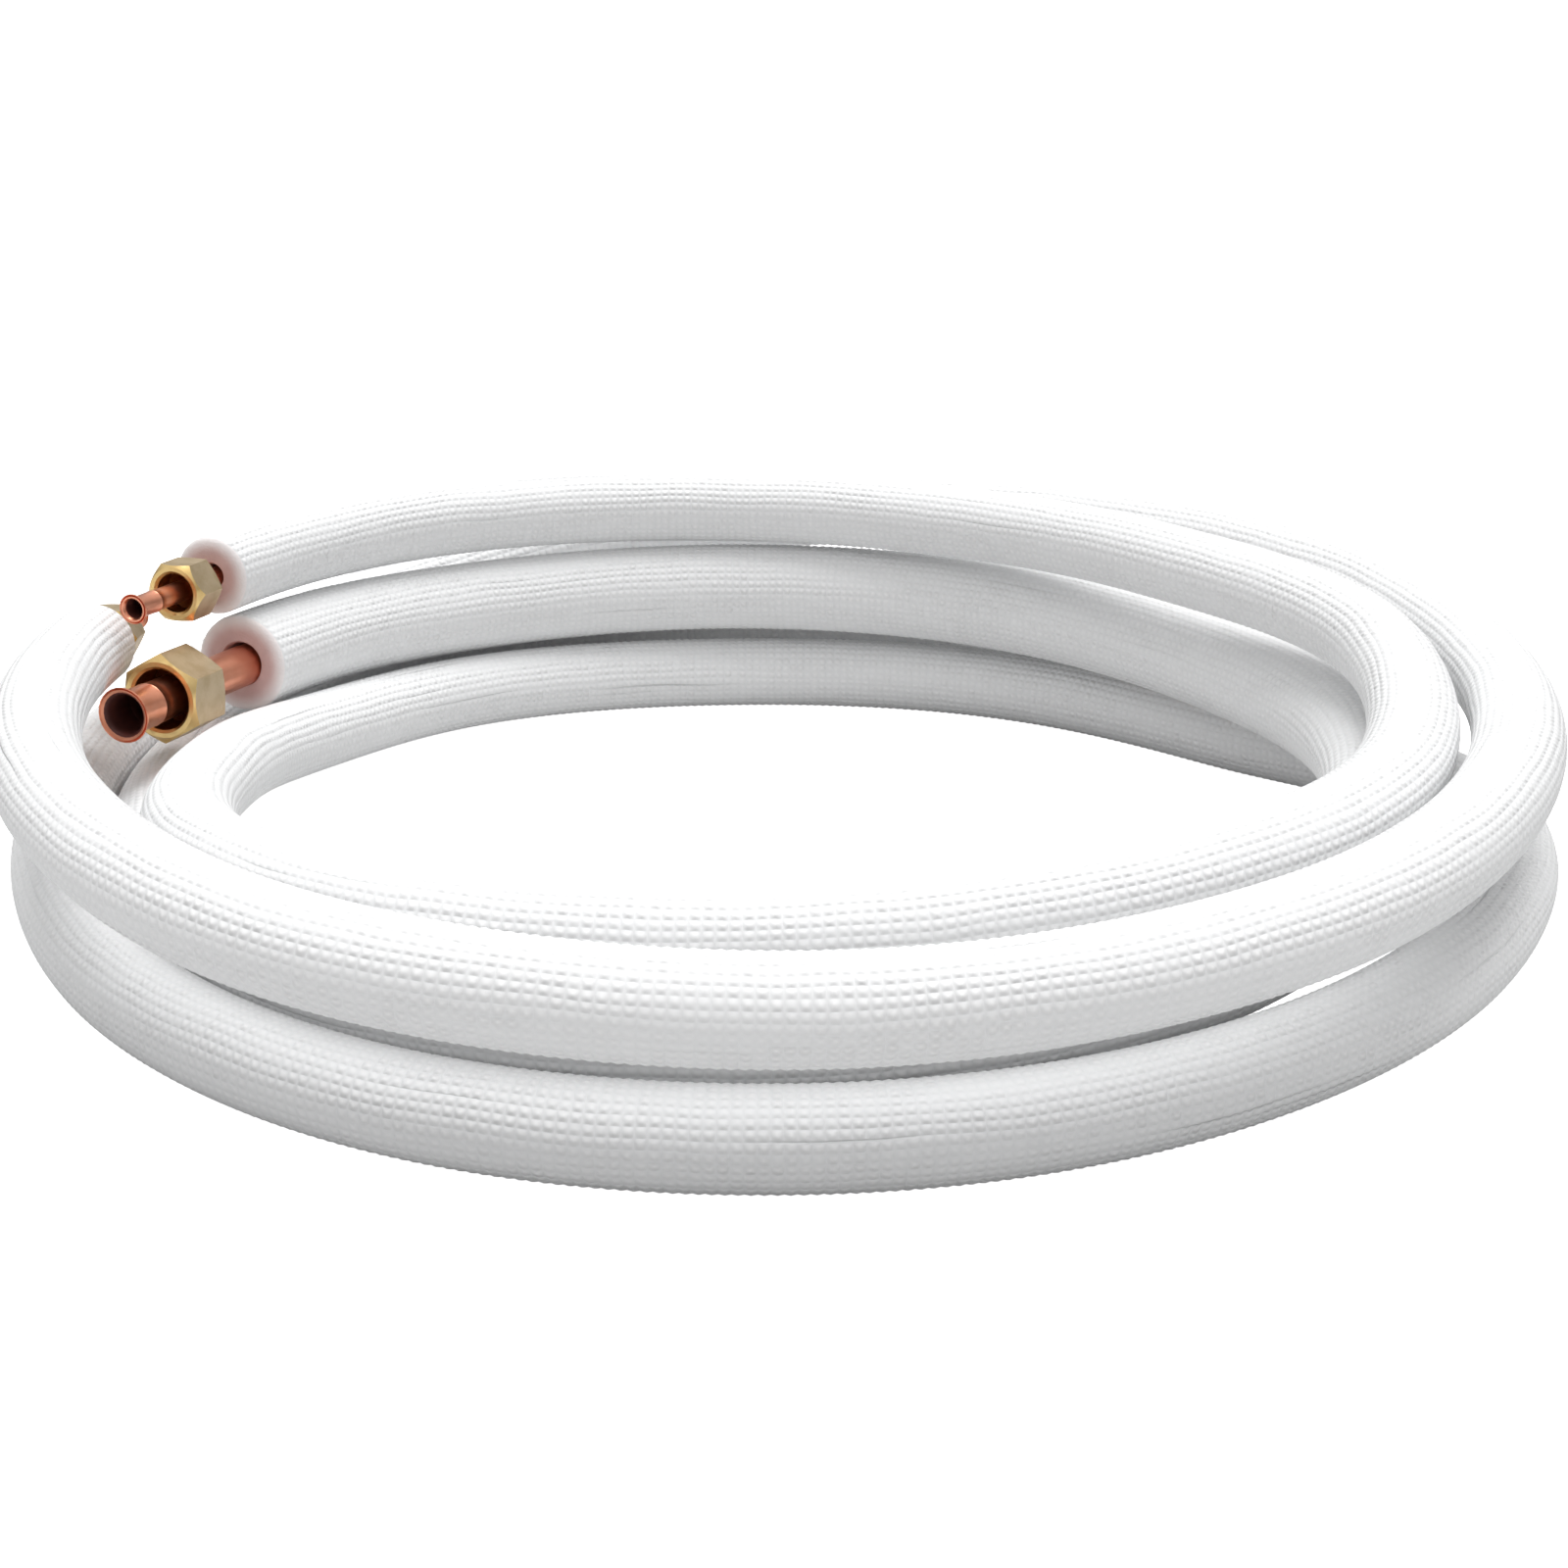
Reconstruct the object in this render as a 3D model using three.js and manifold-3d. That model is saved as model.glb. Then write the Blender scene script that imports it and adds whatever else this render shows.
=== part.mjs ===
// Line set for a split air conditioner: a small and a large copper line, each in a white foam sleeve
// and each with a flare nut at both ends, laid together in one loose flat coil.
// Millimetres, +Z up. The origin is on the floor, under the middle of the whole coil.

import * as THREE from 'three';
import { mergeVertices } from 'three/addons/utils/BufferGeometryUtils.js';
import Module from 'manifold-3d';

const wasm = await Module();
wasm.setup();

// The coil

const coilRadius = 180;
const degreesPerBend = 12;

// The two lines. A sleeve's diameter is over its corners, since it has flat facets.

const smallLine = {
  tubeDiameter: 6.35,
  tubeWall: 0.8,
  sleeveDiameter: 25,
  sleeveBore: 9,
  bareEnd: 43,
  flareDiameter: 9,
  flareMark: 11,
  nutAcrossFlats: 17,
  nutLength: 13,
  nutSocket: 12,
  nutSocketDepth: 7,
  nutFromSleeve: 8,
  nutTurn: 30,
};

const largeLine = {
  tubeDiameter: 12.7,
  tubeWall: 0.8,
  sleeveDiameter: 31,
  sleeveBore: 15.4,
  bareEnd: 65,
  flareDiameter: 16.5,
  flareMark: 13,
  nutAcrossFlats: 24,
  nutLength: 17.5,
  nutSocket: 18.6,
  nutSocketDepth: 11.5,
  nutFromSleeve: 28.5,
  nutTurn: 0,
};

const sleeveSides = 12;
const tubeSides = 8;
const boreSides = 6;
const restGap = 0.3;
const flareSwell = 0.15;
const nutSegments = 24;
const nutRearShoulder = 1.5;
const nutFrontShoulder = 2;
const nutMouthChamfer = 0.8;
const cutBeyond = 1;

// Where the two sleeves run, one station every 30 degrees. Seen from above both lines go round
// clockwise, from the end on show at the back left. A station says how far out of the coil's
// radius and how far above the floor the sleeve's middle lies, in mean sleeve widths.

const lineWidth = (smallLine.sleeveDiameter + largeLine.sleeveDiameter) / 2;
const stationAngle = 30;
const firstStation = 180;

const smallRoute = {
  startAngle: 157,
  endAngle: -914,
  stations: [
    // top turn: behind, over the right side, inside at the front, down the left corner
    [-0.07, 2.39],
    [0.13, 2.32],
    [0.32, 2.24],
    [0.11, 2.17],
    [-0.43, 2.18],
    [-0.86, 2.24],
    [-0.16, 2.08],
    [0.04, 1.68],
    [-0.16, 1.55],
    [-0.2, 1.45],
    [-0.11, 1.39],
    [-0.27, 1.21],
    [-0.87, 0.93],
    // bottom turn: under the stack behind, then out to the front on the floor
    [-0.7, 0.43],
    [-0.2, 0.16],
    [-0.04, 0.02],
    [0.11, 0],
    [0.25, 0],
    [1.18, 0.21],
    [0.89, 0.16],
    [0.46, 0.02],
    [0.36, 0],
    [0.39, 0],
    [0.5, 0],
    [0.89, 0.21],
    // outer turn: climbs at the back left and comes round over the bottom ring
    [1.52, 0.46],
    [1.71, 1.09],
    [1.54, 1.7],
    [1.39, 1.94],
    [1.28, 1.94],
    [1.05, 1.82],
    [1, 1.7],
    [1.13, 1.57],
    [1.21, 1.48],
    [1.36, 1.68],
    [0.96, 1.83],
    [0.76, 1.89],
    [1.18, 1.7],
    [1.6, 1.5],
  ],
};

const largeRoute = {
  startAngle: 155.9,
  endAngle: -320,
  stations: [
    // under the top turn behind and at the right, then down to the floor inside the front
    [-0.34, 1.32],
    [-0.09, 1.19],
    [0.14, 1.04],
    [0.02, 1.04],
    [-0.14, 1],
    [-0.3, 0.91],
    [-0.18, 0.83],
    [-0.32, 0.6],
    [-0.52, 0.39],
    [-0.63, 0.21],
    [-0.64, 0.11],
    [-0.54, 0],
    // out at the left and up again behind, to the far end at the back right
    [-0.14, 0],
    [0.48, 0.05],
    [0.95, 0.2],
    [1.04, 0.45],
    [0.96, 0.64],
    [0.88, 0.73],
    [0.79, 0.82],
  ],
};

// Colours

const colours = {
  foam: { color: '#f1f0ee', roughness: 0.85, metalness: 0 },
  copper: { color: '#c97a5c', roughness: 0.35, metalness: 1 },
  brass: { color: '#b8965a', roughness: 0.4, metalness: 1 },
};

const up = new THREE.Vector3(0, 0, 1);

// A line bent in short straight lengths. Its sections stand upright, so that one facet of a
// sleeve always faces the floor, and everything on one route bends at the same points.

class BentLine extends THREE.Curve {
  constructor(points) {
    super();
    this.points = points;
  }

  getPoint(t, target = new THREE.Vector3()) {
    const place = t * (this.points.length - 1);
    const before = Math.min(Math.floor(place), this.points.length - 2);
    return target.lerpVectors(this.points[before], this.points[before + 1], place - before);
  }

  getSpacedPoints() {
    return this.points.map((point) => point.clone());
  }

  computeFrenetFrames() {
    const last = this.points.length - 1;
    const tangents = this.points.map((point, i) => {
      const ahead = directionBetween(this.points[Math.min(i, last - 1)], this.points[Math.min(i + 1, last)]);
      const behind = directionBetween(this.points[Math.max(i - 1, 0)], this.points[Math.max(i, 1)]);
      return ahead.add(behind).normalize();
    });
    const normals = tangents.map((tangent) => new THREE.Vector3().crossVectors(up, tangent).normalize());
    const binormals = tangents.map((tangent, i) => new THREE.Vector3().crossVectors(tangent, normals[i]));
    return { tangents, normals, binormals };
  }
}

function directionBetween(from, to) {
  return new THREE.Vector3().subVectors(to, from).normalize();
}

// A smooth value between the stations on either side.

function between(values, place) {
  const last = values.length - 1;
  const i = Math.min(Math.floor(place), last - 1);
  const t = place - i;
  const [a, b, c, d] = [i - 1, i, i + 1, i + 2].map((k) => values[THREE.MathUtils.clamp(k, 0, last)]);
  return b + 0.5 * t * (c - a + t * (2 * a - 5 * b + 4 * c - d + t * (3 * (b - c) + d - a)));
}

function routePoints(route, line) {
  const bends = Math.round((route.startAngle - route.endAngle) / degreesPerBend);
  const points = [];
  for (let i = 0; i <= bends + 1; i += 1) {
    // the first and last lengths are half ones, so that the ends leave along the curve
    const along = THREE.MathUtils.clamp((i - 0.5) / bends, 0, 1);
    const angle = THREE.MathUtils.lerp(route.startAngle, route.endAngle, along);
    const place = (firstStation - angle) / stationAngle;
    const out = between(route.stations.map((station) => station[0]), place);
    const rise = Math.max(0, between(route.stations.map((station) => station[1]), place));
    const radius = coilRadius + out * lineWidth;
    const turn = THREE.MathUtils.degToRad(angle);
    const height = line.sleeveDiameter / 2 * Math.cos(Math.PI / sleeveSides) + rise * lineWidth;
    points.push(new THREE.Vector3(radius * Math.cos(turn), radius * Math.sin(turn), height));
  }
  return points;
}

// A ring section with one flat facing down, and a hole of its own number of sides.

function polygonPoints(diameter, sides, drop) {
  const points = [];
  for (let i = 0; i < sides; i += 1) {
    const angle = -Math.PI / 2 + (i + 0.5) * 2 * Math.PI / sides;
    points.push(new THREE.Vector2(Math.cos(angle), Math.sin(angle)).multiplyScalar(diameter / 2));
    points[i].y -= drop;
  }
  return points;
}

function ringSection(outer, sides, inner, drop) {
  const section = new THREE.Shape(polygonPoints(outer, sides, drop));
  section.holes.push(new THREE.Path(polygonPoints(inner, boreSides, drop)));
  return section;
}

function sweep(section, points) {
  return new THREE.ExtrudeGeometry(section, {
    steps: points.length - 1,
    curveSegments: 1,
    bevelEnabled: false,
    extrudePath: new BentLine(points),
  });
}

// Solids for cutting and joining

function toSolid(geometry) {
  const bare = geometry.clone();
  bare.deleteAttribute('normal');
  bare.deleteAttribute('uv');
  const merged = mergeVertices(bare, 1e-4);
  return new wasm.Manifold(new wasm.Mesh({
    numProp: 3,
    vertProperties: new Float32Array(merged.attributes.position.array),
    triVerts: new Uint32Array(merged.index.array),
  }));
}

function toGeometry(solid) {
  const mesh = solid.getMesh();
  const geometry = new THREE.BufferGeometry();
  geometry.setAttribute('position', new THREE.BufferAttribute(mesh.vertProperties, 3));
  geometry.setIndex(new THREE.BufferAttribute(mesh.triVerts, 1));
  geometry.computeVertexNormals();
  return geometry;
}

// Turned about Y. A profile closes on itself, or starts and ends on the axis.

function turned(profile, segments) {
  const points = profile.map(([radius, height]) => new THREE.Vector2(radius, height));
  return new THREE.LatheGeometry(points, segments, Math.PI / segments);
}

// The copper lies on the bottom of the sleeve's bore.

function tubeDrop(line) {
  const boreFlat = line.sleeveBore / 2 * Math.cos(Math.PI / boreSides);
  const tubeFlat = line.tubeDiameter / 2 * Math.cos(Math.PI / tubeSides);
  return boreFlat - tubeFlat - restGap;
}

// One end of a line: where the tube leaves the sleeve, which way it points, and its own frame.

function lineEnd(line, sleevePoint, nextPoint) {
  const outward = directionBetween(nextPoint, sleevePoint);
  const side = new THREE.Vector3().crossVectors(outward, up).normalize();
  const upright = new THREE.Vector3().crossVectors(side, outward);
  const face = sleevePoint.clone().addScaledVector(upright, -tubeDrop(line));
  return { outward, side, upright, face };
}

function placeOnEnd(geometry, end, distance) {
  const frame = new THREE.Matrix4().makeBasis(end.side, end.outward, end.upright);
  frame.setPosition(end.face.clone().addScaledVector(end.outward, distance));
  return geometry.applyMatrix4(frame);
}

function flaredMouth(line) {
  const outer = line.tubeDiameter / 2 + flareSwell;
  const inner = outer - line.tubeWall - flareSwell / 2;
  const mouth = line.flareDiameter / 2;
  const coneStart = line.flareMark - (mouth - outer);
  return turned([
    [inner, 0],
    [outer, 0],
    [outer, coneStart],
    [mouth, line.flareMark],
    [mouth - line.tubeWall, line.flareMark],
    [inner, coneStart - line.tubeWall / 2],
    [inner, 0],
  ], tubeSides);
}

function copperTube(line, points) {
  const start = lineEnd(line, points[0], points[1]);
  const finish = lineEnd(line, points.at(-1), points.at(-2));
  const plainEnd = line.bareEnd - line.flareMark / 2;
  const route = [
    points[0].clone().addScaledVector(start.outward, plainEnd),
    ...points,
    points.at(-1).clone().addScaledVector(finish.outward, plainEnd),
  ];
  const bore = line.tubeDiameter - 2 * line.tubeWall;
  const section = ringSection(line.tubeDiameter, tubeSides, bore, tubeDrop(line));
  let solid = toSolid(sweep(section, route));
  for (const end of [start, finish]) {
    solid = solid.add(toSolid(placeOnEnd(flaredMouth(line), end, line.bareEnd - line.flareMark)));
  }
  return toGeometry(solid);
}

function foamSleeve(line, points) {
  return sweep(ringSection(line.sleeveDiameter, sleeveSides, line.sleeveBore, 0), points);
}

// A flare nut along Y: its plain back at 0, its open socket at the far end, its seat between.

function flareNut(line) {
  const flat = line.nutAcrossFlats / 2;
  const corner = flat / Math.cos(Math.PI / 6);
  const front = line.nutLength;
  const bore = line.tubeDiameter / 2 + restGap;
  const socket = line.nutSocket / 2;
  const seat = front - line.nutSocketDepth;
  const hexagon = new THREE.CylinderGeometry(corner, corner, front, 6).translate(0, front / 2, 0);
  hexagon.rotateY(THREE.MathUtils.degToRad(line.nutTurn));
  const rounded = turned([
    [0, 0],
    [flat - nutRearShoulder, 0],
    [corner, nutRearShoulder],
    [corner, front - nutFrontShoulder],
    [flat - nutFrontShoulder / 4, front],
    [0, front],
  ], nutSegments);
  const hollow = turned([
    [0, -cutBeyond],
    [bore, -cutBeyond],
    [bore, seat - (socket - bore)],
    [socket, seat],
    [socket, front - nutMouthChamfer],
    [socket + nutMouthChamfer, front],
    [socket + nutMouthChamfer, front + cutBeyond],
    [0, front + cutBeyond],
  ], nutSegments);
  return toGeometry(toSolid(hexagon).intersect(toSolid(rounded)).subtract(toSolid(hollow)));
}

function part(name, geometry, finish) {
  const mesh = new THREE.Mesh(geometry, new THREE.MeshStandardMaterial(finish));
  mesh.name = name;
  return mesh;
}

const lineSet = new THREE.Group();

for (const [size, line, route] of [['small', smallLine, smallRoute], ['large', largeLine, largeRoute]]) {
  const points = routePoints(route, line);
  lineSet.add(part(`insulation_${size}`, foamSleeve(line, points), colours.foam));
  lineSet.add(part(`copper_tube_${size}`, copperTube(line, points), colours.copper));
  const near = lineEnd(line, points[0], points[1]);
  const far = lineEnd(line, points.at(-1), points.at(-2));
  for (const [place, end] of [['near', near], ['far', far]]) {
    const nut = placeOnEnd(flareNut(line), end, line.nutFromSleeve);
    lineSet.add(part(`flare_nut_${size}_${place}`, nut, colours.brass));
  }
}

// The origin is under the middle of the coil's box, on the floor.

const box = new THREE.Box3().setFromObject(lineSet, true);
const middle = box.getCenter(new THREE.Vector3());
lineSet.position.set(-middle.x, -middle.y, -box.min.z);

export default lineSet;
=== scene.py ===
# %% [markdown]
# # A coiled line set for a split air conditioner
#
# Two soft copper lines, a thin one and a thick one, each run inside a white foam sleeve and end in
# a flare with a loose brass nut on it. They lie together as one flat coil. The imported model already
# has every piece at its real size, with flat facets. Here each piece is drawn as the eye sees it.

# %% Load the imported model
import math

import bpy
import numpy as np
from mathutils import Matrix, Vector


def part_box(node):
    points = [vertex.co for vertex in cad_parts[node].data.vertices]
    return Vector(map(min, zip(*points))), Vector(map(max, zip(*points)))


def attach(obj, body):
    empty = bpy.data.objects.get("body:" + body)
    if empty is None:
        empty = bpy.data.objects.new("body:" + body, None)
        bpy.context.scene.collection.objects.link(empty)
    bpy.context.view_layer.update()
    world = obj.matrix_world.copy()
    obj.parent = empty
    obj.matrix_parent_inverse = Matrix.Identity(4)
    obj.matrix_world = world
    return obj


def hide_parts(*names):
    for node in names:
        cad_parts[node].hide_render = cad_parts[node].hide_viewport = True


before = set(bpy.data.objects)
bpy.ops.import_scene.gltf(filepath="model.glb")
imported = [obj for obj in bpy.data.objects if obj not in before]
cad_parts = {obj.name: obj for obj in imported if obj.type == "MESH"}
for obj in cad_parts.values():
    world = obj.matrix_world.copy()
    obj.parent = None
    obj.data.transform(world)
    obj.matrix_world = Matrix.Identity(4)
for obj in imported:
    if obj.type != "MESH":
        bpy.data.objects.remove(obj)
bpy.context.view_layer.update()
MM = 0.001
MERGE = 0.01 * MM

# %% [markdown]
# ## Sizes of the two lines
#
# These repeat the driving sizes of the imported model. The pieces below take every size from here, so
# the drawn tube, nut and sleeve stay in step with each other.

# %% Sizes of the two lines
small = {
    "name": "small",
    "tube": 6.35 * MM,
    "wall": 0.8 * MM,
    "sleeve": 25.0 * MM,
    "bore": 9.0 * MM,
    "bare_end": 43.0 * MM,
    "flare": 9.0 * MM,
    "flare_mark": 11.0 * MM,
    "nut_flats": 17.0 * MM,
    "nut_length": 13.0 * MM,
    "nut_socket": 12.0 * MM,
    "nut_socket_depth": 7.0 * MM,
    "nut_from_sleeve": 8.0 * MM,
    "nut_turn": 30.0,
    "thread_pitch": 1.3 * MM,
    "bump_rows": 31,
    "sleeve_corners": 32,
    "start_angle": 157.0,
    "end_angle": -914.0,
}
large = {
    "name": "large",
    "tube": 12.7 * MM,
    "wall": 0.8 * MM,
    "sleeve": 31.0 * MM,
    "bore": 15.4 * MM,
    "bare_end": 65.0 * MM,
    "flare": 16.5 * MM,
    "flare_mark": 13.0 * MM,
    "nut_flats": 24.0 * MM,
    "nut_length": 17.5 * MM,
    "nut_socket": 18.6 * MM,
    "nut_socket_depth": 11.5 * MM,
    "nut_from_sleeve": 28.5 * MM,
    "nut_turn": 0.0,
    "thread_pitch": 1.6 * MM,
    "bump_rows": 39,
    "sleeve_corners": 40,
    "start_angle": 155.9,
    "end_angle": -320.0,
}
REST_GAP = 0.3 * MM
FLARE_SWELL = 0.15 * MM
SLEEVE_FLATS = 12
BORE_FLATS = 6
TUBE_FLATS = 8

# %% [markdown]
# ## Where the lines run
#
# A coil that was wound by hand is no exact spiral: each turn slides in, out, up or down on the ones
# below. So the route is a list of stations, one every 30 degrees, and each says how far out of the
# coil's radius and how far above the floor the sleeve's middle lies, in mean sleeve widths. The
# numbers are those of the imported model, because the drawn sleeves have to lie where its solids lie.

# %% Stations of the two lines
COIL_RADIUS = 180.0 * MM
LINE_WIDTH = (small["sleeve"] + large["sleeve"]) / 2
STATION_ANGLE = 30.0
FIRST_STATION = 180.0
CAD_BEND = 12.0
POINTS_PER_BEND = 2

small["stations"] = [
    # top turn
    (-0.07, 2.39), (0.13, 2.32), (0.32, 2.24), (0.11, 2.17), (-0.43, 2.18), (-0.86, 2.24),
    (-0.16, 2.08), (0.04, 1.68), (-0.16, 1.55), (-0.2, 1.45), (-0.11, 1.39), (-0.27, 1.21),
    (-0.87, 0.93),
    # bottom turn
    (-0.7, 0.43), (-0.2, 0.16), (-0.04, 0.02), (0.11, 0.0), (0.25, 0.0), (1.18, 0.21),
    (0.89, 0.16), (0.46, 0.02), (0.36, 0.0), (0.39, 0.0), (0.5, 0.0), (0.89, 0.21),
    # outer turn
    (1.52, 0.46), (1.71, 1.09), (1.54, 1.7), (1.39, 1.94), (1.28, 1.94), (1.05, 1.82),
    (1.0, 1.7), (1.13, 1.57), (1.21, 1.48), (1.36, 1.68), (0.96, 1.83), (0.76, 1.89),
    (1.18, 1.7), (1.6, 1.5),
]
large["stations"] = [
    # under the top turn
    (-0.34, 1.32), (-0.09, 1.19), (0.14, 1.04), (0.02, 1.04), (-0.14, 1.0), (-0.3, 0.91),
    (-0.18, 0.83), (-0.32, 0.6), (-0.52, 0.39), (-0.63, 0.21), (-0.64, 0.11), (-0.54, 0.0),
    # outer stretch behind
    (-0.14, 0.0), (0.48, 0.05), (0.95, 0.2), (1.04, 0.45), (0.96, 0.64), (0.88, 0.73),
    (0.79, 0.82),
]


# %% Points along a route
def between(values, place):
    """A smooth value between the stations on either side of a place."""
    last = len(values) - 1
    i = min(int(place), last - 1)
    t = place - i
    a, b, c, d = (values[min(max(k, 0), last)] for k in (i - 1, i, i + 1, i + 2))
    return b + 0.5 * t * (c - a + t * (2 * a - 5 * b + 4 * c - d + t * (3 * (b - c) + d - a)))


def route_points(line, points_per_bend):
    """The middle of the sleeve, from the end on show to the far end, round the coil's own axis."""
    span = line["start_angle"] - line["end_angle"]
    steps = round(span / CAD_BEND) * points_per_bend
    out = [station[0] for station in line["stations"]]
    rise = [station[1] for station in line["stations"]]
    lowest = line["sleeve"] / 2 * math.cos(math.pi / SLEEVE_FLATS)
    points = []
    for i in range(steps + 1):
        angle = line["start_angle"] - span * i / steps
        place = (FIRST_STATION - angle) / STATION_ANGLE
        radius = COIL_RADIUS + between(out, place) * LINE_WIDTH
        height = lowest + max(0.0, between(rise, place)) * LINE_WIDTH
        turn = math.radians(angle)
        points.append(Vector((radius * math.cos(turn), radius * math.sin(turn), height)))
    return points


def middle_of(points):
    """The middle of the points' box, seen from above."""
    lows = [min(p[k] for p in points) for k in range(2)]
    highs = [max(p[k] for p in points) for k in range(2)]
    return Vector(((lows[0] + highs[0]) / 2, (lows[1] + highs[1]) / 2, 0))


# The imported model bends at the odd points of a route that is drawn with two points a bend.
drawn = route_points(small, POINTS_PER_BEND)
cad_bends = [drawn[0], *drawn[1::2], drawn[-1]]
node_low, node_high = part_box("insulation_small")
node_middle = (node_low + node_high) / 2
coil_axis = Vector((node_middle.x, node_middle.y, 0)) - middle_of(cad_bends)
for line in (small, large):
    line["route"] = [point + coil_axis for point in route_points(line, POINTS_PER_BEND)]
print("coil axis, mm:", [round(c / MM, 2) for c in coil_axis])


# %% The straight bare end of a line
def line_end(line, sleeve_point, next_point):
    """Where the tube leaves its sleeve, the way it points, and the directions across it."""
    outward = (sleeve_point - next_point).normalized()
    side = outward.cross(Vector((0, 0, 1))).normalized()
    upright = side.cross(outward)
    bore_flat = line["bore"] / 2 * math.cos(math.pi / BORE_FLATS)
    tube_flat = line["tube"] / 2 * math.cos(math.pi / TUBE_FLATS)
    seat = bore_flat - tube_flat - REST_GAP
    face = sleeve_point - upright * seat
    return {"outward": outward, "side": side, "upright": upright, "face": face, "seat": seat}


for line in (small, large):
    route = line["route"]
    line["near"] = line_end(line, route[0], route[1])
    line["far"] = line_end(line, route[-1], route[-2])


# %% [markdown]
# ## Tools for the bench
#
# Most pieces start as a ring of points that is pushed along and scaled in edit mode, which is how a
# turned or drawn part is shaped. The long ones are made straight first and then bent: the Array
# modifier repeats one short band, and the Curve modifier lays the whole tube along the route.

# %% Start and finish an edit
def select_only(piece):
    bpy.ops.object.select_all(action="DESELECT")
    piece.select_set(True)
    bpy.context.view_layer.objects.active = piece


def apply_modifier(piece, modifier):
    select_only(piece)
    bpy.ops.object.modifier_apply(modifier=modifier.name)


def joined(pieces, name):
    """Joins the pieces into the first one."""
    bpy.ops.object.select_all(action="DESELECT")
    for piece in pieces:
        piece.select_set(True)
    bpy.context.view_layer.objects.active = pieces[0]
    bpy.ops.object.join()
    pieces[0].name = name
    pieces[0].data.name = name
    return pieces[0]


def select_near(piece, value, slack):
    """In edit mode, selects the points whose X is at the value."""
    bpy.ops.mesh.select_all(action="DESELECT")
    bpy.ops.object.mode_set(mode="OBJECT")
    for vertex in piece.data.vertices:
        vertex.select = abs(vertex.co.x - value) < slack
    bpy.ops.object.mode_set(mode="EDIT")


# %% Push a ring along X through a list of radii
def ring_tube(name, profile, corners):
    """An open tube along X. The profile lists (place along X, radius)."""
    start, radius = profile[0]
    bpy.ops.object.select_all(action="DESELECT")
    bpy.ops.mesh.primitive_circle_add(vertices=corners, radius=radius, location=(start, 0, 0),
                                      rotation=(0, math.pi / 2, 0))
    piece = bpy.context.object
    piece.name = name
    bpy.ops.object.transform_apply(location=True, rotation=True, scale=True)
    bpy.ops.object.mode_set(mode="EDIT")
    bpy.ops.mesh.select_mode(type="VERT")
    bpy.ops.mesh.select_all(action="SELECT")
    place = start
    for next_place, next_radius in profile[1:]:
        bpy.ops.mesh.extrude_region_move(
            TRANSFORM_OT_translate={"value": (next_place - place, 0, 0)})
        scale = next_radius / radius
        bpy.ops.transform.resize(value=(1, scale, scale))
        place, radius = next_place, next_radius
    bpy.ops.object.mode_set(mode="OBJECT")
    return piece


# %% Repeat a band along X
def repeated(piece, pitch, count):
    array = piece.modifiers.new("repeat", "ARRAY")
    array.use_relative_offset = False
    array.use_constant_offset = True
    array.constant_offset_displace = (pitch, 0, 0)
    array.count = count
    array.use_merge_vertices = True
    array.merge_threshold = MERGE
    apply_modifier(piece, array)
    return piece


# %% Lay a straight piece along a route
def curve_through(name, points):
    """A smooth curve that leaves its ends in the direction of their first stretches."""
    bpy.ops.object.select_all(action="DESELECT")
    bpy.ops.curve.primitive_nurbs_path_add()
    curve = bpy.context.object
    curve.name = name
    spline = curve.data.splines[0]
    spline.points.add(len(points) - len(spline.points))
    for control, point in zip(spline.points, points):
        control.co = (*point, 1.0)
    curve.data.twist_mode = "Z_UP"
    spline.use_endpoint_u = True
    spline.order_u = 4
    spline.resolution_u = 4
    curve.data.use_stretch = True
    curve.data.use_deform_bounds = True
    return curve


def laid_along(piece, curve):
    bend = piece.modifiers.new("bend", "CURVE")
    bend.object = curve
    bend.deform_axis = "POS_X"
    apply_modifier(piece, bend)
    bpy.data.objects.remove(curve)
    return piece


def length_of(points):
    return sum((b - a).length for a, b in zip(points, points[1:]))


# %% A UV map that unrolls a straight tube
def unroll(piece, along_unit, rows):
    """U counts along_unit steps along X, and V counts rows round the tube."""
    mesh = piece.data
    layer = mesh.uv_layers.new(name="unrolled")
    corners = np.zeros(len(mesh.loops), np.int32)
    mesh.loops.foreach_get("vertex_index", corners)
    points = np.zeros(len(mesh.vertices) * 3)
    mesh.vertices.foreach_get("co", points)
    points = points.reshape(-1, 3)[corners]
    starts = np.zeros(len(mesh.polygons), np.int32)
    mesh.polygons.foreach_get("loop_start", starts)
    sizes = np.zeros(len(mesh.polygons), np.int32)
    mesh.polygons.foreach_get("loop_total", sizes)
    round_it = np.arctan2(points[:, 2], points[:, 1]) / (2 * math.pi)
    first = np.repeat(round_it[starts], sizes)
    round_it -= np.round(round_it - first)
    unrolled = np.stack([points[:, 0] / along_unit, round_it * rows], axis=1)
    layer.data.foreach_set("uv", unrolled.astype(np.float32).ravel())


def map_radius(piece, low, high):
    """A second map whose U goes from 0 at the low radius to 1 at the high one."""
    mesh = piece.data
    layer = mesh.uv_layers.new(name="radius")
    corners = np.zeros(len(mesh.loops), np.int32)
    mesh.loops.foreach_get("vertex_index", corners)
    points = np.zeros(len(mesh.vertices) * 3)
    mesh.vertices.foreach_get("co", points)
    points = points.reshape(-1, 3)[corners]
    across = (np.hypot(points[:, 1], points[:, 2]) - low) / (high - low)
    mapped = np.stack([across, np.zeros(len(across))], axis=1)
    layer.data.foreach_set("uv", mapped.astype(np.float32).ravel())


# %% [markdown]
# ## The foam sleeves
#
# The sleeve is closed-cell foam with a thin white film bonded on and embossed in small square
# bumps, about 2.8 mm apart. Real bumps on metres of sleeve would take millions of faces, so the
# mesh has only the rings: each one a shallow crest, which gives the sleeve its toothed edge where
# two turns touch. The rows that cut the rings into bumps come from the material. The ends are cut
# square, with a soft rim, and the foam shows there.

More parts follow.
